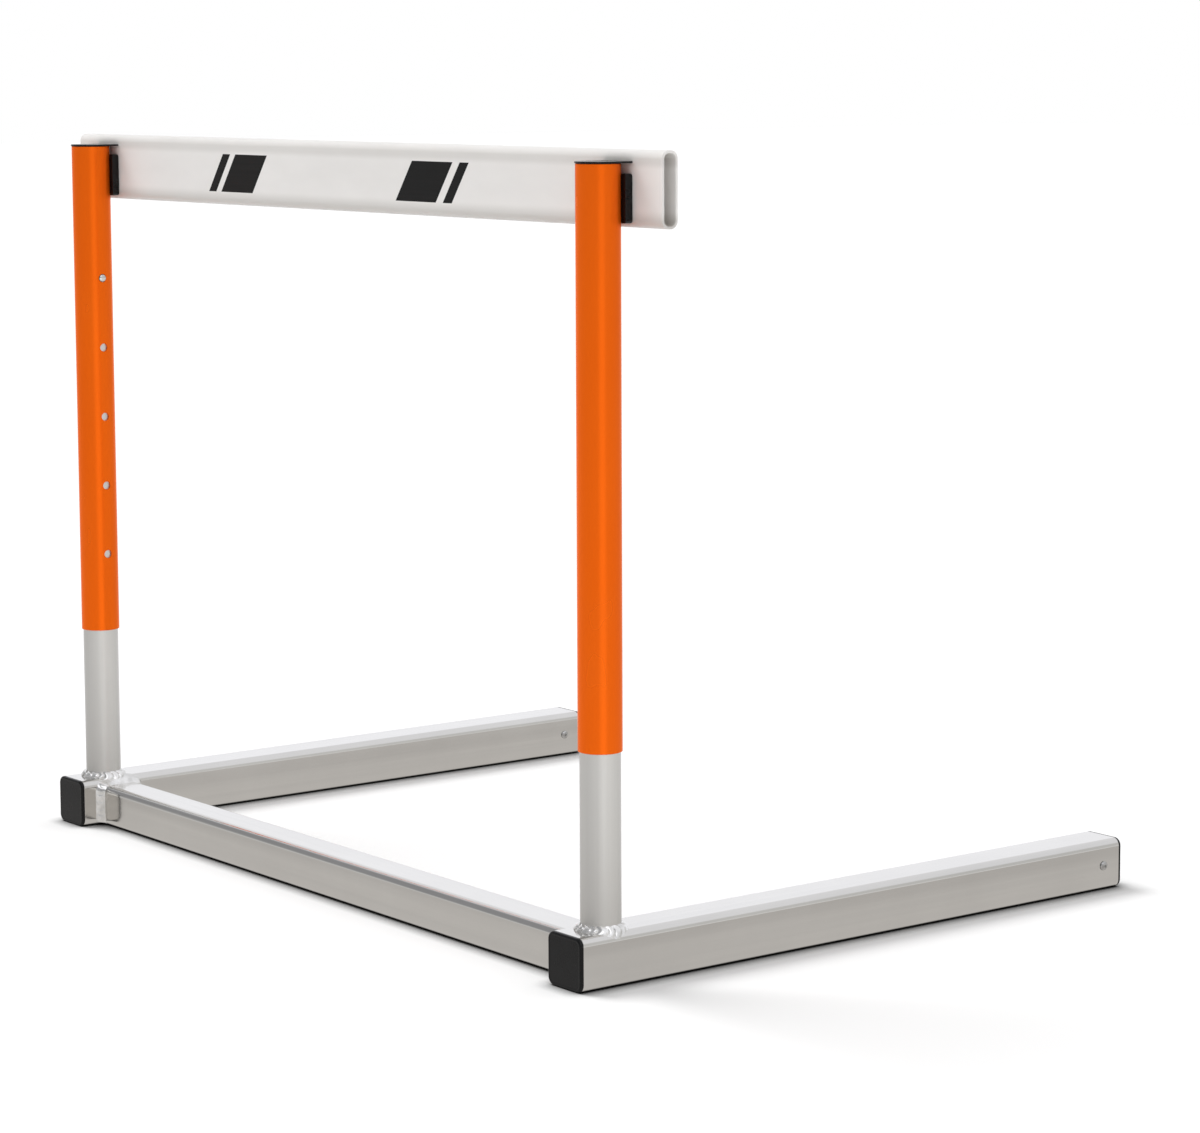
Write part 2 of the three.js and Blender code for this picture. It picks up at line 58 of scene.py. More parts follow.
X, Y, Z = Vector((1, 0, 0)), Vector((0, 1, 0)), Vector((0, 0, 1))

# Photograph: 1200 by 1133 pixels, seen from the front right, a little above the gateboard.
CAMERA_PLACE = Vector((3.0209, -2.263, 0.8427))
CAMERA_YAW, CAMERA_PITCH, CAMERA_ROLL = (math.radians(a) for a in (52.602, 7.103, -0.22))
CAMERA_LENS = 107.854
CAMERA_SHIFT_UP = -0.05
SENSOR_WIDTH = 36

# Frame sizes that the boxes of the CAD nodes don't give.
TUBE_CORNER = 8 * MM
TUBE_WALL = 2.4 * MM
RAIL_CORNER = 8 * MM
BOARD_CORNER = 8 * MM
BOARD_WALL = 2.6 * MM
POST_WALL = 2.1 * MM
SLEEVE_WALL = 1.3 * MM
SEAT_GAP = 0.3 * MM
ROUND_SIDES = 160
CORNER_STEPS = 12
SHARP_ANGLE = math.radians(32)

# Stop holes of the sleeve, and the holes for the button in the post and in its spring clip.
STOP_PITCH = 76.2 * MM
STOP_COUNT = 5
STOP_HOLE = 8.9 * MM
POST_HOLE = 8.6 * MM
CLIP_HOLE = 4.6 * MM
CUT_OVERRUN = 5 * MM

# Stripes printed on the gateboard: each one's middle and width along the board, halfway up the print.
STRIPES = ((-226 * MM, 14.5 * MM), (-178 * MM, 61.5 * MM), (150 * MM, 68.5 * MM), (203.5 * MM, 15 * MM))
STRIPE_SLANT = 0.73
STRIPE_BELOW_TOP = 16.9 * MM
STRIPE_HEIGHT = 39.4 * MM

# Studio: levels of light, where 1 shows white as white. Paint sees plain walls and a dimmer ceiling.
PLAIN_WALLS, PLAIN_CEILING = 0.76, 0.66
SUN_STRENGTH, SUN_WIDTH, SUN_PLACE = 1.8, math.radians(30), Vector((-0.8, -0.25, 1.0))

# Metal sees walls that brighten to the right and are white behind the object.
STUDIO_FRONT, STUDIO_RIGHT = Vector((0.794, -0.607, 0)), Vector((0.607, 0.794, 0))
LEFT_WALL, RIGHT_WALL, BACK_WALL, WALL_TURN = 0.78, 1.04, 1.03, math.radians(22)
WALL_ABOVE_HORIZON = 0.65
WALL_TOP, WALL_TOP_RIGHT, WALL_TOP_BEHIND = -0.05, 0.33, 0.48
COOL_LIGHT = (0.975, 0.985, 1.03, 1)

# Above the walls metal sees a ceiling that is dark to the front and light to the back.
CEILING_FRONT, CEILING_BACK = 0.3, 0.87

# Where the studio changes from one level to the next, as cosines of the angle to an axis.
BACK_WALL_FADE, SIDE_WALLS_FADE, HORIZON_FADE = (-0.95, -0.6), (-0.4, 1), (-0.12, 0)
TOP_BEHIND_FADE, TOP_RIGHT_FADE, WALL_TOP_FADE = (-0.95, -0.3), (0.4, 0.8), (0, 0.2)
CEILING_FADE, PLAIN_FADE, SOFTBOX_FADE = (-0.28, 0.02), (0.2, 0.7), (-0.03, 0.02)

# Softboxes in metal: turn to the right and rise in degrees, half their width in degrees, and level.
SOFTBOXES = ((17, -11, 15, 0.5), (5, 45, 20, 1.0))

# Floor: its paint, and the tint and levels at which it glows in metal, close by and further off.
FLOOR_PAINT, FLOOR_TINT = 0.97, (1, 0.97, 0.945, 1)
FLOOR_CLOSE, FLOOR_OFF = 0.58, 0.51
FLOOR_CLOSE_REACH, FLOOR_OFF_REACH = 0.13, 0.17

# Where the floor begins and ends fading out in metal.
FLOOR_NEAR, FLOOR_FAR = 0.2, 0.5

# Painted contact shade where the object meets the floor, on its paint and in metal: its reach, and the
# openness at which it is black and gone.
CONTACT_SHADE_REACH, CONTACT_SHADE_REACH_IN_METAL = 18 * MM, 2.5 * MM
CONTACT_SHADE_FADE, CONTACT_SHADE_FADE_IN_METAL = (0.2, 1), (0.3, 0.9)


# Nodes of the shader trees.
def add(tree, kind, inputs=None, **settings):
    """A node with its settings. An input is a value or another node's output."""
    node = tree.nodes.new("ShaderNode" + kind)
    for name, value in settings.items():
        setattr(node, name, value)
    for key, value in (inputs or {}).items():
        if isinstance(value, bpy.types.NodeSocket):
            tree.links.new(value, node.inputs[key])
        else:
            node.inputs[key].default_value = value
    return node


def calculate(tree, operation, first, second=0.0):
    """The result of a math node."""
    return add(tree, "Math", {0: first, 1: second}, operation=operation).outputs[0]


def remap(tree, value, low, high, to_low, to_high, smooth=False):
    """A value moved from one range to another and kept in it."""
    kind = "SMOOTHSTEP" if smooth else "LINEAR"
    inputs = {"Value": value, "From Min": low, "From Max": high, "To Min": to_low, "To Max": to_high}
    return add(tree, "MapRange", inputs, interpolation_type=kind).outputs[0]


def mix_colours(tree, share, first, second):
    """The mix of two colours."""
    node = add(tree, "Mix", {0: share}, data_type="RGBA")
    for key, value in ((6, first), (7, second)):
        if isinstance(value, bpy.types.NodeSocket):
            tree.links.new(value, node.inputs[key])
        else:
            node.inputs[key].default_value = value
    return node.outputs[2]


def mottled(tree, noise, low, high, first, second):
    """Two colours, one where a noise is low and one where it is high."""
    return mix_colours(tree, remap(tree, noise, low, high, 0, 1), first, second)


def object_noise(tree, scale, detail=3.0, roughness=0.5):
    """Noise in the object's own space, with a scale for each axis."""
    place = add(tree, "TexCoord").outputs["Object"]
    stretched = add(tree, "Mapping", {"Vector": place, "Scale": scale}).outputs[0]
    inputs = {"Vector": stretched, "Scale": 1.0, "Detail": detail, "Roughness": roughness}
    return add(tree, "TexNoise", inputs).outputs[0]


def bump(tree, height, strength, distance):
    """A bumped normal."""
    inputs = {"Height": height, "Strength": strength, "Distance": distance}
    return add(tree, "Bump", inputs).outputs[0]


def material(name):
    """A material with a bare shader: the material, its tree and the shader's inputs."""
    made = bpy.data.materials.new(name)
    made.use_nodes = True
    tree = made.node_tree
    return made, tree, tree.nodes["Principled BSDF"].inputs


def colour(red, green, blue):
    """A colour from 8 bit sRGB values."""
    shares = [value / 255 for value in (red, green, blue)]
    linear = [c / 12.92 if c <= 0.04045 else ((c + 0.055) / 1.055) ** 2.4 for c in shares]
    return (*linear, 1.0)


# Materials.
def tube_aluminium(name, along, smooth, rough):
    """Mill-finish aluminium with fine drawing lines along an axis and faint clouds of handling."""
    made, tree, shader = material(name)
    lines = object_noise(tree, [5 if along[i] else 700 for i in range(3)], detail=4)
    broad = object_noise(tree, [1 if along[i] else 110 for i in range(3)], detail=2)
    clouds = object_noise(tree, (9, 9, 9), detail=4, roughness=0.6)
    tint = mottled(tree, clouds, 0.3, 0.7, colour(223, 221, 217), colour(229, 227, 223))
    streaked = mix_colours(tree, remap(tree, broad, 0.4, 0.7, 0, 0.3), tint, colour(214, 213, 210))
    tree.links.new(streaked, shader["Base Color"])
    shader["Metallic"].default_value = 1.0
    wear = calculate(tree, "ADD", lines, clouds)
    tree.links.new(remap(tree, wear, 0.6, 1.4, smooth, rough), shader["Roughness"])
    tree.links.new(bump(tree, calculate(tree, "ADD", lines, broad), 0.04, 0.05 * MM), shader["Normal"])
    return made


def weld_aluminium():
    """Bright weld metal with a fine frozen skin."""
    made, tree, shader = material("weld_aluminium")
    frozen = object_noise(tree, (900, 900, 900), detail=4)
    patches = object_noise(tree, (110, 110, 110))
    tint = mottled(tree, patches, 0.35, 0.65, colour(226, 225, 222), colour(254, 253, 251))
    tree.links.new(tint, shader["Base Color"])
    shader["Metallic"].default_value = 0.85
    tree.links.new(remap(tree, patches, 0.3, 0.7, 0.12, 0.26), shader["Roughness"])
    tree.links.new(bump(tree, frozen, 0.25, 0.12 * MM), shader["Normal"])
    return made


def plain_metal(name, dark, light, smooth, rough, grain):
    """A small metal part: mottled between two colours, with a fine grain."""
    made, tree, shader = material(name)
    mottle = object_noise(tree, (260, 260, 260), detail=4)
    fine = object_noise(tree, (grain, grain, grain))
    tree.links.new(mottled(tree, mottle, 0.35, 0.65, dark, light), shader["Base Color"])
    shader["Metallic"].default_value = 1.0
    tree.links.new(remap(tree, mottle, 0.3, 0.7, smooth, rough), shader["Roughness"])
    tree.links.new(bump(tree, fine, 0.1, 0.05 * MM), shader["Normal"])
    return made


def sleeve_paint():
    """Glossy orange coat on a metal tube, with a faint orange peel and the odd scuff."""
    made, tree, shader = material("sleeve_orange")
    peel = object_noise(tree, (420, 420, 420), detail=2)
    drift = object_noise(tree, (14, 14, 5), detail=3)
    scuffs = object_noise(tree, (30, 30, 12), detail=2)
    base = mottled(tree, drift, 0.35, 0.65, colour(242, 101, 12), colour(245, 104, 14))
    worn = mix_colours(tree, remap(tree, scuffs, 0.5, 0.8, 0, 0.04), base, colour(250, 134, 62))
    tree.links.new(worn, shader["Base Color"])
    shader["Metallic"].default_value = 0.5
    shader["Specular IOR Level"].default_value = 0.15
    shader["Specular Tint"].default_value = colour(255, 220, 180)
    tree.links.new(remap(tree, scuffs, 0.3, 0.75, 0.25, 0.28), shader["Roughness"])
    tree.links.new(bump(tree, peel, 0.012, 0.08 * MM), shader["Normal"])
    return made


def black_plastic():
    """Moulded black plastic with a fine leathery grain."""
    made, tree, shader = material("black_plastic")
    grain = object_noise(tree, (1700, 1700, 1700), detail=3)
    clouds = object_noise(tree, (60, 60, 60), detail=3)
    base = mottled(tree, clouds, 0.3, 0.7, colour(14, 14, 15), colour(20, 20, 21))
    tree.links.new(base, shader["Base Color"])
    shader["Specular IOR Level"].default_value = 0.24
    tree.links.new(remap(tree, clouds, 0.3, 0.7, 0.24, 0.34), shader["Roughness"])
    tree.links.new(bump(tree, grain, 0.1, 0.12 * MM), shader["Normal"])
    return made


def board_plastic(box):
    """White plastic with painted shade in a line just under the top edge and towards the bottom, and slanted
    black stripes printed on both faces.
    """
    made, tree, shader = material("board_white")
    place = add(tree, "SeparateXYZ", {0: add(tree, "TexCoord").outputs["Object"]}).outputs
    top = box[1].z - STRIPE_BELOW_TOP
    middle = top - STRIPE_HEIGHT / 2
    upright = calculate(tree, "SUBTRACT", place["Z"], middle)
    straightened = calculate(tree, "SUBTRACT", place["X"], calculate(tree, "MULTIPLY", upright, STRIPE_SLANT))
    edge = 0.12 * MM
    printed = 0.0
    for centre, width in STRIPES:
        away = calculate(tree, "ABSOLUTE", calculate(tree, "SUBTRACT", straightened, centre))
        bar = remap(tree, away, width / 2 - edge, width / 2 + edge, 1, 0)
        printed = calculate(tree, "MAXIMUM", printed, bar)
    height = calculate(tree, "ABSOLUTE", upright)
    rows = remap(tree, height, STRIPE_HEIGHT / 2 - edge, STRIPE_HEIGHT / 2 + edge, 1, 0)
    ink = calculate(tree, "MULTIPLY", printed, rows)
    lines = object_noise(tree, (3, 300, 300), detail=3)
    clouds = object_noise(tree, (12, 30, 30), detail=3)
    speckle = object_noise(tree, (900, 900, 900), detail=2)
    clean = mottled(tree, clouds, 0.3, 0.7, colour(228, 225, 222), colour(233, 230, 227))
    # Painted shade: a soft grey line 10 mm under the top edge and a grey band towards the bottom, mixed into
    # the white below.
    shade_line_height, bottom = box[1].z - 10 * MM, box[0].z
    from_shade_line = calculate(tree, "ABSOLUTE", calculate(tree, "SUBTRACT", place["Z"], shade_line_height))
    # The painted shade line under the top edge.
    seam = remap(tree, from_shade_line, 1 * MM, 8 * MM, 0.55, 0, smooth=True)
    painted_underside_shade = remap(tree, place["Z"], bottom + 4 * MM, bottom + 17 * MM, 1, 0, smooth=True)
    white = mix_colours(tree, calculate(tree, "MAXIMUM", seam, painted_underside_shade), clean, colour(201, 198, 194))
    black = mottled(tree, speckle, 0.4, 0.8, colour(12, 11, 11), colour(22, 21, 21))
    tree.links.new(mix_colours(tree, ink, white, black), shader["Base Color"])
    shader["Subsurface Weight"].default_value = 0.35
    shader["Subsurface Radius"].default_value = (1, 0.97, 0.93)
    shader["Subsurface Scale"].default_value = 8 * MM
    shader["Specular IOR Level"].default_value = 0.2
    tree.links.new(remap(tree, calculate(tree, "ADD", ink, lines), 0.3, 1.6, 0.3, 0.5), shader["Roughness"])
    relief = calculate(tree, "ADD", lines, calculate(tree, "MULTIPLY", ink, 0.6))
    tree.links.new(bump(tree, relief, 0.15, 0.06 * MM), shader["Normal"])
    return made


# Meshes.
def skin(name, rows, wrap=False, ends=True):
    """A mesh over closed rows of points. Wrap joins the last row to the first; ends closes both ends."""
    count = len(rows[0])
    faces = []
    for a in range(len(rows) - (0 if wrap else 1)):
        b = (a + 1) % len(rows)
        for k in range(count):
            onward = (k + 1) % count
            faces.append((a * count + k, a * count + onward, b * count + onward, b * count + k))
    if ends and not wrap:
        last = (len(rows) - 1) * count
        faces += [tuple(reversed(range(count))), tuple(range(last, last + count))]
    mesh = bpy.data.meshes.new(name)
    mesh.from_pydata([p for row in rows for p in row], [], faces)
    build = bmesh.new()
    build.from_mesh(mesh)
    bmesh.ops.remove_doubles(build, verts=build.verts, dist=MM / 1000)
    bmesh.ops.recalc_face_normals(build, faces=build.faces)
    build.to_mesh(mesh)
    build.free()
    made = bpy.data.objects.new(name, mesh)
    bpy.context.scene.collection.objects.link(made)
    return made


def turned(name, profile, origin, axis, sides=ROUND_SIDES, wrap=False):
    """A profile of (radius, height) points turned round an axis through an origin."""
    turn = axis.to_track_quat("Z", "Y").to_matrix()
    rows = [
        [origin + turn @ Vector((radius * math.cos(a), radius * math.sin(a), height)) for a in around(sides)]
        for radius, height in profile
    ]
    return skin(name, rows, wrap, ends=False)


def around(sides):
    """Angles of a full turn."""
    return [2 * math.pi * i / sides for i in range(sides)]


def arc(centre, radius_x, radius_y, start, end, steps):
    """Points on an elliptical arc, angles in degrees."""
    turns = [math.radians(start + (end - start) * i / steps) for i in range(steps + 1)]
    return [(centre[0] + radius_x * math.cos(t), centre[1] + radius_y * math.sin(t)) for t in turns]


def rounded(width, height, radius):
    """The outline of a rounded rectangle round the origin, from its lower right corner anticlockwise."""
    across, up = width / 2 - radius, height / 2 - radius
    corners = ((across, -up, -90), (across, up, 0), (-across, up, 90), (-across, -up, 180))
    arcs = [arc((x, y), radius, radius, start, start + 90, CORNER_STEPS) for x, y, start in corners]
    return [point for points in arcs for point in points]


def sections(stations, centre, along, width, height, corner):
    """Rows of rounded outlines round an axis. A station is an inset and a place along the axis."""
    across, up = (Y, Z) if along == X else (X, Z)
    middle_across, middle_up = centre.dot(across), centre.dot(up)
    rows = []
    for inset, place in stations:
        outline = rounded(width - 2 * inset, height - 2 * inset, corner - inset)
        rows.append([along * place + across * (middle_across + u) + up * (middle_up + v) for u, v in outline])
    return rows


def rounded_tube(name, low, high, along, corner, wall, ease=0.35 * MM):
    """A tube with rounded corners that fills a box, open at both ends, its rims eased."""
    size = high - low
    width = size.y if along == X else size.x
    start, end = low.dot(along), high.dot(along)
    stations = [(0, start + ease), (0, end - ease), (ease, end), (wall - ease, end)]
    stations += [(wall, end - ease), (wall, start + ease), (wall - ease, start), (ease, start)]
    rows = sections(stations, (low + high) / 2, along, width, size.z, corner)
    return skin(name, rows, wrap=True)


def cut(made, *tools):
    """Cuts the tools out of a piece and removes them."""
    for tool in tools:
        modifier = made.modifiers.new("cut", "BOOLEAN")
        modifier.operation = "DIFFERENCE"
        modifier.solver = "EXACT"
        modifier.object = tool
    scene_graph = bpy.context.evaluated_depsgraph_get()
    made.data = bpy.data.meshes.new_from_object(made.evaluated_get(scene_graph))
    made.modifiers.clear()
    for tool in tools:
        bpy.data.objects.remove(tool)
    return made


def dress(made, look, slot, body, *nodes):
    """Gives a piece its shading and material, and its body, if it rides on one, and hides the nodes it stands
    for. The slot is not used.
    """
    made.data.shade_smooth()
    made.data.set_sharp_from_angle(angle=SHARP_ANGLE)
    weighted = made.modifiers.new("weighted_normals", "WEIGHTED_NORMAL")
    weighted.keep_sharp = True
    made.data.materials.clear()
    made.data.materials.append(look)
    if body:
        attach(made, body)
    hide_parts(*nodes)
    return made


@functools.cache
def box_of(node):
    """The middle, lowest and highest corner of a CAD node."""
    low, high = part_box(node)
    return (low + high) / 2, low, high


# Materials of the pieces.
aluminium_x = tube_aluminium("tube_aluminium_rail", X, 0.1, 0.17)
aluminium_y = tube_aluminium("tube_aluminium_leg", Y, 0.1, 0.17)
aluminium_z = tube_aluminium("tube_aluminium_post", Z, 0.46, 0.54)
weld_metal = weld_aluminium()
rivet_metal = plain_metal("rivet_aluminium", colour(176, 175, 173), colour(212, 211, 209), 0.22, 0.36, 900)
zinc = plain_metal("zinc_steel", colour(196, 195, 193), colour(230, 229, 226), 0.12, 0.24, 1200)
spring_metal = plain_metal("spring_steel", colour(120, 120, 122), colour(160, 160, 160), 0.25, 0.4, 1200)
bar_metal = plain_metal("bar_steel", colour(70, 68, 66), colour(110, 106, 102), 0.4, 0.6, 300)
orange = sleeve_paint()
black = black_plastic()
white = board_plastic(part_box("gateboard"))


# Frame.
def leg(side):
    """A leg, a plain tube between its two end caps."""
    _, low, high = box_of(f"{side}_leg")
    made = rounded_tube(f"{side}_leg_tube", low, high, Y, TUBE_CORNER, TUBE_WALL)
    dress(made, aluminium_y, "tube_aluminium", "base", f"{side}_leg")


def front_rail():
    """The rail between the legs."""
    _, low, high = box_of("front_rail")
    made = rounded_tube("front_rail_tube", low, high, X, RAIL_CORNER, TUBE_WALL)
    dress(made, aluminium_x, "tube_aluminium", "base", "front_rail")


def end_cap(side, end, facing):
    """An end cap: an eased flange with a shallow dished face, and the insert in the tube."""
    flange, ease, dish, insert_inset = 3.2 * MM, 2.4 * MM, 0.35 * MM, TUBE_WALL + 2 * SEAT_GAP
    node = f"{side}_{end}_cap"
    middle, low, high = box_of(node)
    size = high.x - low.x
    outside = low.y if facing < 0 else high.y
    into = -facing
    profile = [(ease + 1.2 * MM, dish), (ease + 0.5 * MM, dish * 0.25)]
    profile += [(ease - u, ease - v) for u, v in arc((0, 0), ease, ease, 90, 0, 8)]
    length, taper_length, taper = high.y - low.y, 2 * MM, 1 * MM
    profile += [(0, flange), (insert_inset, flange)]
    profile += [(insert_inset, length - taper_length), (insert_inset + taper, length)]
    stations = [(inset, outside + into * depth) for inset, depth in profile]
    rows = sections(stations, middle, Y, size, size, TUBE_CORNER)
    dress(skin(f"{node}_moulded", rows), black, "black_plastic", "base", node)


def post(side):
    """A post, a round tube with eased rims and a hole for its snap button."""
    _, low, high = box_of(f"{side}_post")
    outer, foot = (high.x - low.x) / 2, axis_foot(side)
    wall = tube_profile(outer, outer - POST_WALL, low.z, high.z)
    made = turned(f"{side}_post_tube", wall, foot, Z, wrap=True)
    button = foot + Z * box_of(f"{side}_snap_button")[0].z
    cut(made, rod(button, X * -SIDES[side], POST_HOLE, outer + CUT_OVERRUN))
    dress(made, aluminium_z, "tube_aluminium", "base", f"{side}_post")


def rod(start, direction, diameter, reach):
    """A round tool that cuts a hole."""
    profile = [(0, 0), (diameter / 2, 0), (diameter / 2, reach), (0, reach)]
    return turned("tool", profile, start, direction, sides=48)


def tube_profile(outer, inner, bottom, top, ease=0.3 * MM):
    """The wall of a round tube, its four rims eased."""
    return [
        (outer, bottom + ease), (outer, top - ease), (outer - ease, top), (inner + ease, top),
        (inner, top - ease), (inner, bottom + ease), (inner + ease, bottom), (outer - ease, bottom),
    ]


def axis_foot(side):
    """The place on the floor under a post's axis."""
    middle, _, _ = box_of(f"{side}_post")
    return Vector((middle.x, middle.y, 0))


def rivet(side, place, facing):
    """A blind rivet: a domed head with the broken mandrel in its middle."""
    node = f"{side}_leg_{place}_rivet"
    middle, low, high = box_of(node)
    radius, rise, stem = (high.z - low.z) / 2, 2.2 * MM, 2.4 * MM
    tip = high.x if facing > 0 else low.x
    foot = tip - facing * rise
    mouth = 1.45 * MM
    dome = [p for p in arc((0, 0), radius, rise, 0, 90, 10) if p[0] > mouth]
    profile = [(0, -(high.x - low.x - rise)), (stem, -(high.x - low.x - rise)), (stem, 0), *dome]
    pit = rise - 0.7 * MM
    profile += [(mouth, rise), (mouth - 0.25 * MM, pit), (0.8 * MM, pit)]
    profile += [(0.5 * MM, rise - 0.3 * MM), (0, rise - 0.25 * MM)]
    made = turned(f"{node}_head", profile, Vector((foot, middle.y, middle.z)), X * facing, sides=48)
    dress(made, rivet_metal, "rivet_aluminium", "base", node)


# Welds.
def leg_surface(side, offset):
    """How far the square leg's surface stands from its middle, at an offset across it, corners included."""
    middle, _, high = box_of(f"{side}_leg")
    flat = high.z - middle.z - TUBE_CORNER
    past = min(max(abs(offset) - flat, 0), TUBE_CORNER)
    return flat + math.sqrt(TUBE_CORNER**2 - past**2)


def dimes(count, spread, seed):
    """The ends of a row of overlapping weld pools along a seam of length 1, unevenly spaced."""
    draw = random.Random(seed)
    steps = [1 + spread * draw.uniform(-1, 1) for _ in range(count)]
    total = sum(steps)
    ends = [0.0]
    for step in steps:
        ends.append(ends[-1] + step / total)
    return ends, [draw.uniform(0.55, 1.0) for _ in range(count)]


def pool_height(ends, heights, along, lag):
    """The ripple's height, 0 to 1, at a share along the seam that lags behind towards the bead's edges."""
    place = (along + lag) % 1.0
    index = next(i for i in range(len(heights)) if place <= ends[i + 1])
    share = (place - ends[index]) / (ends[index + 1] - ends[index])
    return heights[index] * abs(math.sin(math.pi * share)) ** 0.6


def bead(name, frames, closed, pools, bulge, ripple):
    """A weld bead. Each frame is a seam point and the bead's reaches from it on the two surfaces."""
    section_steps, root = 14, 0.12
    ends, heights = pools
    rows = []
    for i, (seam, on_first, on_second) in enumerate(frames):
        along = i / len(frames) if closed else i / (len(frames) - 1)
        outward = (on_first + on_second) / 2
        row = []
        for k in range(section_steps + 1):
            share = k / section_steps
            crown = math.sin(math.pi * share)
            lag = 0.45 / len(heights) * (2 * share - 1) ** 2
            swell = pool_height(ends, heights, along, lag)
            spread = 1 + 0.5 * ripple * (swell - 0.5)
            point = seam + (on_first * (1 - share) + on_second * share) * spread
            row.append(point + outward * (bulge * crown + ripple * (swell - 0.5) * crown**0.5))
        row.append(seam - outward * root)
        rows.append(row)
    return skin(name, rows, wrap=closed)


def post_weld(side, seed):
    """The bead round the foot of a post, draped over the leg's rounded corners."""
    foot = axis_foot(side)
    _, low, high = box_of(f"{side}_post")
    leg_middle = box_of(f"{side}_leg")[0]
    radius, reach, steps = (high.x - low.x) / 2, 5.9 * MM, 420
    frames = []
    for angle in around(steps):
        out = Vector((math.cos(angle), math.sin(angle), 0))
        seam, toe = foot + out * radius, foot + out * (radius + reach)
        for point in (seam, toe):
            point.z = leg_middle.z + leg_surface(side, point.x - leg_middle.x)
        frames.append((seam, toe - seam, Z * reach))
    made = bead(f"{side}_post_weld_bead", frames, True, dimes(17, 0.25, seed), 0.2, 0.38)
    dress(made, weld_metal, "weld_aluminium", "base", f"{side}_post_weld")


def rail_weld(side, seed):
    """The bead round the rail's end, from near the floor up one side, over the top and down the other."""
    inward = -SIDES[side]
    middle, low, high = box_of("front_rail")
    leg_middle = box_of(f"{side}_leg")[0]
    reach, clear_of_floor, steps = 7.5 * MM, 2.6 * MM, 360
    outline = rounded(high.y - low.y, high.z - low.z, RAIL_CORNER)
    start = CORNER_STEPS // 2
    path = [Vector((u, v)) for u, v in outline[start : len(outline) - start]]
    path = evenly(path, steps)
    frames = []
    for i, point in enumerate(path):
        ahead, behind = path[min(i + 1, steps - 1)], path[max(i - 1, 0)]
        out = Vector((ahead.y - behind.y, behind.x - ahead.x)).normalized()

        def on_leg(reached):
            z = max(middle.z + point.y + out.y * reached, clear_of_floor)
            x = leg_middle.x + inward * leg_surface(side, z - leg_middle.z)
            return Vector((x, middle.y + point.x + out.x * reached, z))

        seam = on_leg(0)
        frames.append((seam, on_leg(reach) - seam, X * inward * reach))
    made = bead(f"{side}_rail_weld_bead", frames, False, dimes(15, 0.3, seed), 0.04, 0.06)
    dress(made, weld_metal, "weld_aluminium", "base", f"{side}_rail_weld")


def evenly(path, count):
    """Points spaced evenly along a path."""
    lengths = [0.0]
    for a, b in zip(path, path[1:]):
        lengths.append(lengths[-1] + (b - a).length)
    made, k = [], 0
    for i in range(count):
        target = lengths[-1] * i / (count - 1)
        while k < len(path) - 2 and lengths[k + 1] < target:
            k += 1
        share = (target - lengths[k]) / max(lengths[k + 1] - lengths[k], 1e-12)
        made.append(path[k].lerp(path[k + 1], min(share, 1)))
    return made


# Uprights.
def sleeve(side):
    """A painted sleeve with eased rims and a row of stop holes on its inward side."""
    inward = -SIDES[side]
    node = f"{side}_sleeve"
    _, low, high = box_of(node)
    radius = (high.x - low.x) / 2
    foot = axis_foot(side)
    wall = tube_profile(radius, radius - SLEEVE_WALL, low.z, high.z)
    made = turned(f"{node}_painted", wall, foot, Z, wrap=True)
    top_stop = box_of(f"{side}_snap_button")[0].z
    reach = radius + CUT_OVERRUN
    places = [foot + Z * (top_stop - STOP_PITCH * i) for i in range(STOP_COUNT)]
    cut(made, *[rod(place, X * inward, STOP_HOLE, reach) for place in places])
    dress(made, orange, "sleeve_orange", "crossbar", node)


def snap_button(side):
    """A snap button: its dome, the collar inside the post, and the stud through the clip."""
    inward = -SIDES[side]
    node = f"{side}_snap_button"
    middle, low, high = box_of(node)
    foot = axis_foot(side)
    near, far = sorted((abs(low.x - foot.x), abs(high.x - foot.x)))
    rise, radius = 1.8 * MM, 4 * MM
    shoulder = far - rise
    collar, collar_thickness, stud, tail, tail_thickness = 5.25 * MM, 1 * MM, 2 * MM, 3.2 * MM, 0.6 * MM
    tail_top, neck = near + tail_thickness, 1.2 * MM
    seat = tail_top + neck
    profile = [(0, near), (tail, near), (tail, tail_top), (stud, tail_top), (stud, seat)]
    profile += [(collar, seat), (collar, seat + collar_thickness), (radius, seat + collar_thickness)]
    profile += arc((0, shoulder), radius, rise, 0, 90, 14)
    made = turned(f"{node}_turned", profile, Vector((foot.x, foot.y, middle.z)), X * inward, sides=64)
    dress(made, zinc, "zinc_steel", f"{side}_button", node)


def button_spring(side):
    """The spring clip in the post, a strip bent to a V, with a hole for the button's stud."""
    inward = X * -SIDES[side]
    node = f"{side}_button_spring"
    _, low, high = box_of(node)
    foot, height = axis_foot(side), box_of(f"{side}_snap_button")[0].z
    thickness, bend = 0.6 * MM, 4.5 * MM
    far, carried = sorted((corner - foot).dot(inward) for corner in (low, high))
    far, carried, bend_height = far + thickness / 2, carried - thickness / 2, low.z + thickness / 2 + bend
    path = [(carried, high.z), (carried, 2 * height - high.z)]
    path += arc((far + bend, bend_height), bend, bend, 0, -180, 16) + [(far, high.z)]
    path = evenly([Vector(point) for point in path], 120)
    section = rounded(thickness, high.y - low.y, 0.1 * MM)
    rows = []
    for i, point in enumerate(path):
        onward = path[min(i + 1, len(path) - 1)] - path[max(i - 1, 0)]
        across = Vector((-onward.y, onward.x)).normalized()
        places = [(point + across * u, v) for u, v in section]
        rows.append([foot + inward * place.x + Y * v + Z * place.y for place, v in places])
    made = cut(skin(f"{node}_strip", rows), rod(foot + Z * height, inward, CLIP_HOLE, carried + bend))
    dress(made, spring_metal, "spring_steel", None, node)
    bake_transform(made)


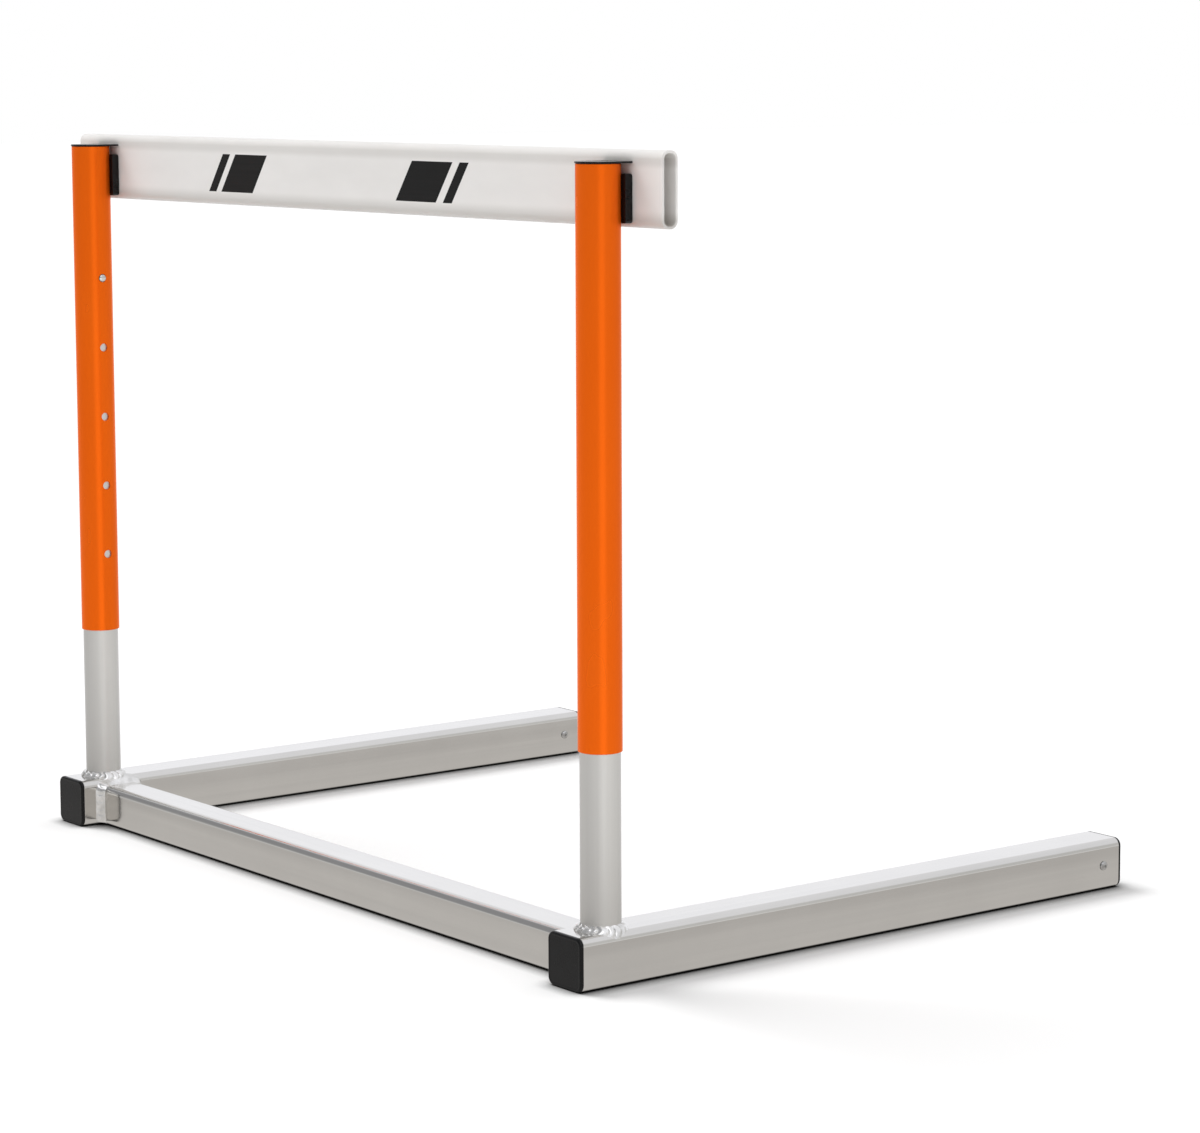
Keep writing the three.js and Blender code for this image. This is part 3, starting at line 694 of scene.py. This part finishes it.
def saddle(side):
    """The block between sleeve and gateboard, its edges eased, hollowed for the sleeve."""
    node = f"{side}_saddle"
    middle, low, high = box_of(node)
    width, height, corner, ease = high.x - low.x, high.z - low.z, 3 * MM, 0.9 * MM
    stations = [(ease - u, low.y + ease - v) for u, v in arc((0, 0), ease, ease, 90, 0, 5)] + [(0, high.y)]
    rows = sections(stations, middle, Y, width, height, corner)
    sleeve_low, sleeve_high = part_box(f"{side}_sleeve")
    seat = (sleeve_high.x - sleeve_low.x) / 2 + SEAT_GAP
    bottom, top = low.z - CUT_OVERRUN, high.z + CUT_OVERRUN
    profile = [(0, bottom), (seat, bottom), (seat, top), (0, top)]
    tool = turned("tool", profile, axis_foot(side), Z)
    dress(cut(skin(f"{node}_moulded", rows), tool), black, "black_plastic", "crossbar", node)


def board_screw(side, place):
    """A pan head screw behind the gateboard, with a hexagonal socket."""
    node = f"{side}_{place}_board_screw"
    middle, low, high = box_of(node)
    head, shank, rise, across, depth = (high.x - low.x) / 2, 3 * MM, 4 * MM, 4 * MM, 2.2 * MM
    under = high.y - rise - low.y
    profile = [(0, 0), (shank - 0.6 * MM, 0), (shank, 0.6 * MM), (shank, under), (head, under)]
    profile += arc((0, under + rise / 3), head, rise * 2 / 3, 0, 90, 12)
    origin = Vector((middle.x, low.y, middle.z))
    made = turned(f"{node}_turned", profile, origin, Y, sides=64)
    corner = across / math.sqrt(3)
    top = under + rise
    socket = [(0, top - depth), (corner, top - depth), (corner, top + MM), (0, top + MM)]
    tool = turned("tool", socket, origin, Y, sides=6)
    dress(cut(made, tool), zinc, "zinc_steel", "crossbar", node)


def gateboard():
    """The gateboard: a hollow extrusion, open at both ends."""
    _, low, high = box_of("gateboard")
    made = rounded_tube("gateboard_extruded", low, high, X, BOARD_CORNER, BOARD_WALL, ease=0.4 * MM)
    dress(made, white, "board_white", "crossbar", "gateboard")


front_rail()
gateboard()
for number, side in enumerate(SIDES):
    leg(side)
    end_cap(side, "front", -1)
    end_cap(side, "rear", 1)
    post(side)
    post_weld(side, seed=11 + number)
    rail_weld(side, seed=21 + number)
    rivet(side, "west", -1)
    rivet(side, "east", 1)
    sleeve(side)
    snap_button(side)
    button_spring(side)
    saddle(side)
    for place in ("lower", "upper"):
        board_screw(side, place)

# CAD pieces that stay, with their materials.
KEPT_LOOKS = {"top_cap": black, "board_nut": zinc, "counterweight": bar_metal}
for node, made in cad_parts.items():
    for ending, look in KEPT_LOOKS.items():
        if node.endswith(ending):
            made.data.materials.clear()
            made.data.materials.append(look)


# Stage: a white floor and world, which metal sees as a studio of pale and dark walls.
def stage_floor():
    """A pale floor that keeps the shadows, its paint darkened near the object as painted contact shade. Metal
    sees the part near the object as a glow at set levels, also with painted contact shade, and past it the
    studio.
    """
    half, below = 30, -SEAT_GAP / 3
    mesh = bpy.data.meshes.new("floor")
    corners = [(x * half, y * half, below) for x, y in ((-1, -1), (1, -1), (1, 1), (-1, 1))]
    mesh.from_pydata(corners, [], [(0, 1, 2, 3)])
    look = bpy.data.materials.new("floor")
    look.use_nodes = True
    look.cycles.emission_sampling = "NONE"
    tree = look.node_tree
    tree.nodes.clear()
    path = add(tree, "LightPath").outputs

    def openness(reach):
        return add(tree, "AmbientOcclusion", {"Distance": reach}, samples=8).outputs["AO"]

    # Painted contact shade: the paint darkens by ambient occlusion next to the object.
    shade = remap(tree, openness(CONTACT_SHADE_REACH), *CONTACT_SHADE_FADE, 0, FLOOR_PAINT)
    paint = add(tree, "BsdfDiffuse", {"Color": shade}).outputs[0]
    # Painted reflection: metal sees the floor near the object as a glow at set levels, not as lit paint.
    level = remap(tree, path["Ray Length"], FLOOR_CLOSE_REACH, FLOOR_OFF_REACH, FLOOR_CLOSE, FLOOR_OFF)
    # Painted contact shade in metal: the glow darkens by ambient occlusion next to the object.
    seam = remap(tree, openness(CONTACT_SHADE_REACH_IN_METAL), *CONTACT_SHADE_FADE_IN_METAL, 0, 1)
    level = calculate(tree, "MULTIPLY", level, seam)
    painted_floor_glow = add(tree, "Emission", {"Color": FLOOR_TINT, "Strength": level}).outputs[0]
    clear = add(tree, "BsdfTransparent").outputs[0]
    distant = remap(tree, path["Ray Length"], FLOOR_NEAR, FLOOR_FAR, 0, 1, smooth=True)
    studio = add(tree, "MixShader", {0: distant, 1: painted_floor_glow, 2: clear}).outputs[0]
    reflected = calculate(tree, "MAXIMUM", path["Is Glossy Ray"], path["Is Transmission Ray"])
    surface = add(tree, "MixShader", {0: reflected, 1: paint, 2: studio}).outputs[0]
    add(tree, "OutputMaterial", {"Surface": surface})
    mesh.materials.append(look)
    made = bpy.data.objects.new("floor", mesh)
    bpy.context.scene.collection.objects.link(made)


def stage_world():
    """White to the camera, plain to paint, and a pale room with softboxes to metal."""
    world = bpy.data.worlds.new("studio")
    bpy.context.scene.world = world
    world.use_nodes = True
    tree = world.node_tree
    tree.nodes.clear()
    toward = add(tree, "TexCoord").outputs["Generated"]

    def along(direction):
        return add(tree, "VectorMath", {0: toward, 1: direction}, operation="DOT_PRODUCT").outputs["Value"]

    def blend(share, first, second):
        return add(tree, "Mix", {0: share, 2: first, 3: second}, data_type="FLOAT").outputs[0]

    def studio_direction(turn, rise):
        level = STUDIO_FRONT * math.cos(turn) + STUDIO_RIGHT * math.sin(turn)
        return level * math.cos(rise) + Z * math.sin(rise)

    up, front, right = along(Z), along(STUDIO_FRONT), along(STUDIO_RIGHT)
    back = remap(tree, front, *BACK_WALL_FADE, 1, 0, smooth=True)
    top_behind = remap(tree, front, *TOP_BEHIND_FADE, WALL_TOP_BEHIND, WALL_TOP)
    top_right = remap(tree, right, *TOP_RIGHT_FADE, WALL_TOP, WALL_TOP_RIGHT)
    wall_top = calculate(tree, "MAXIMUM", top_behind, top_right)
    above = remap(tree, calculate(tree, "SUBTRACT", up, wall_top), *WALL_TOP_FADE, 0, 1, smooth=True)
    sides = remap(tree, along(studio_direction(WALL_TURN, 0)), *SIDE_WALLS_FADE, LEFT_WALL, RIGHT_WALL)
    sides = calculate(tree, "MULTIPLY", sides, remap(tree, up, *HORIZON_FADE, 1, WALL_ABOVE_HORIZON))
    ceiling = remap(tree, along(Y), *CEILING_FADE, CEILING_FRONT, CEILING_BACK, smooth=True)
    studio = blend(above, blend(back, sides, BACK_WALL), ceiling)
    for turn, rise, half, level in SOFTBOXES:
        rim = math.cos(math.radians(half))
        dark, lit = (rim + change for change in SOFTBOX_FADE)
        toward_box = along(studio_direction(math.radians(turn), math.radians(rise)))
        box = remap(tree, toward_box, dark, lit, 0, level, smooth=True)
        studio = calculate(tree, "ADD", studio, box)
    plain = blend(remap(tree, up, *PLAIN_FADE, 0, 1, smooth=True), PLAIN_WALLS, PLAIN_CEILING)
    path = add(tree, "LightPath").outputs
    reflected = calculate(tree, "MAXIMUM", path["Is Glossy Ray"], path["Is Transmission Ray"])
    strength = blend(path["Is Camera Ray"], blend(reflected, plain, studio), 1.0)
    coolness = calculate(tree, "MULTIPLY", reflected, calculate(tree, "MAXIMUM", back, above))
    tint = mix_colours(tree, coolness, (1, 1, 1, 1), COOL_LIGHT)
    background = add(tree, "Background", {"Color": tint, "Strength": strength}).outputs[0]
    add(tree, "OutputWorld", {"Surface": background})


def stage_sun():
    """A wide soft lamp high behind the object's left, for the faint shadows."""
    data = bpy.data.lights.new("sun", "SUN")
    data.energy = SUN_STRENGTH
    data.angle = SUN_WIDTH
    lamp = bpy.data.objects.new("sun", data)
    lamp.rotation_euler = (-SUN_PLACE).to_track_quat("-Z", "Y").to_euler()
    lamp.visible_glossy = False
    bpy.context.scene.collection.objects.link(lamp)


def stage_camera():
    """The camera of the photograph."""
    right = Vector((math.cos(CAMERA_YAW), math.sin(CAMERA_YAW), 0))
    level = Vector((-math.sin(CAMERA_YAW), math.cos(CAMERA_YAW), 0))
    forward = level * math.cos(CAMERA_PITCH) - Z * math.sin(CAMERA_PITCH)
    up = right.cross(forward)
    across = right * math.cos(CAMERA_ROLL) + up * math.sin(CAMERA_ROLL)
    upward = up * math.cos(CAMERA_ROLL) - right * math.sin(CAMERA_ROLL)
    data = bpy.data.cameras.new("camera")
    data.sensor_fit = "HORIZONTAL"
    data.sensor_width = SENSOR_WIDTH
    data.lens = CAMERA_LENS
    data.shift_y = CAMERA_SHIFT_UP
    data.clip_end = 100
    camera = bpy.data.objects.new("camera", data)
    facing = Matrix((across, upward, -forward)).transposed().to_4x4()
    camera.matrix_world = Matrix.Translation(CAMERA_PLACE) @ facing
    bpy.context.scene.collection.objects.link(camera)
    bpy.context.scene.camera = camera


stage_floor()
stage_world()
stage_camera()
stage_sun()
bpy.context.scene.view_settings.view_transform = "Standard"
